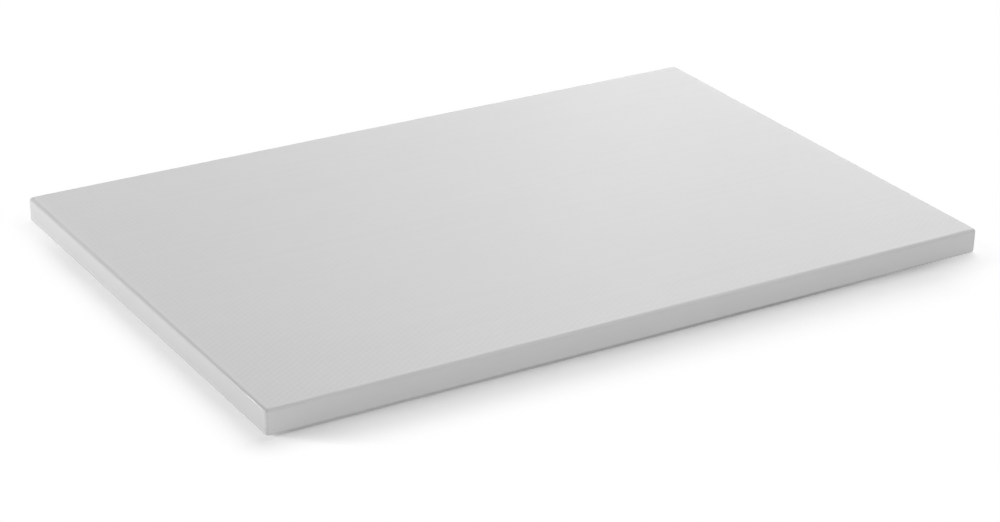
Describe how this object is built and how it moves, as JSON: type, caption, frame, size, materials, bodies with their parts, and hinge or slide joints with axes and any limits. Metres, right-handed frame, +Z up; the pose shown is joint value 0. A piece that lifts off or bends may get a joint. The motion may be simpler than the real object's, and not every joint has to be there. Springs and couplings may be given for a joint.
{
  "type": "cutting board",
  "caption": "Flat rectangular plastic cutting board: a solid white slab with rounded rims and eased corners, used on either face.",
  "frame": {"origin": "centre of the underside, which lies on the worktop", "axes": "+X along the length, +Y across the width, +Z up out of the upper cutting face"},
  "size_m": [0.6, 0.4, 0.02],
  "materials": {
    "white_polyethylene": "satin white high-density polyethylene, finely hatched on both faces, smooth milled edges"
  },
  "bodies": {
    "root": {"board": "white_polyethylene"}
  },
  "joints": []
}
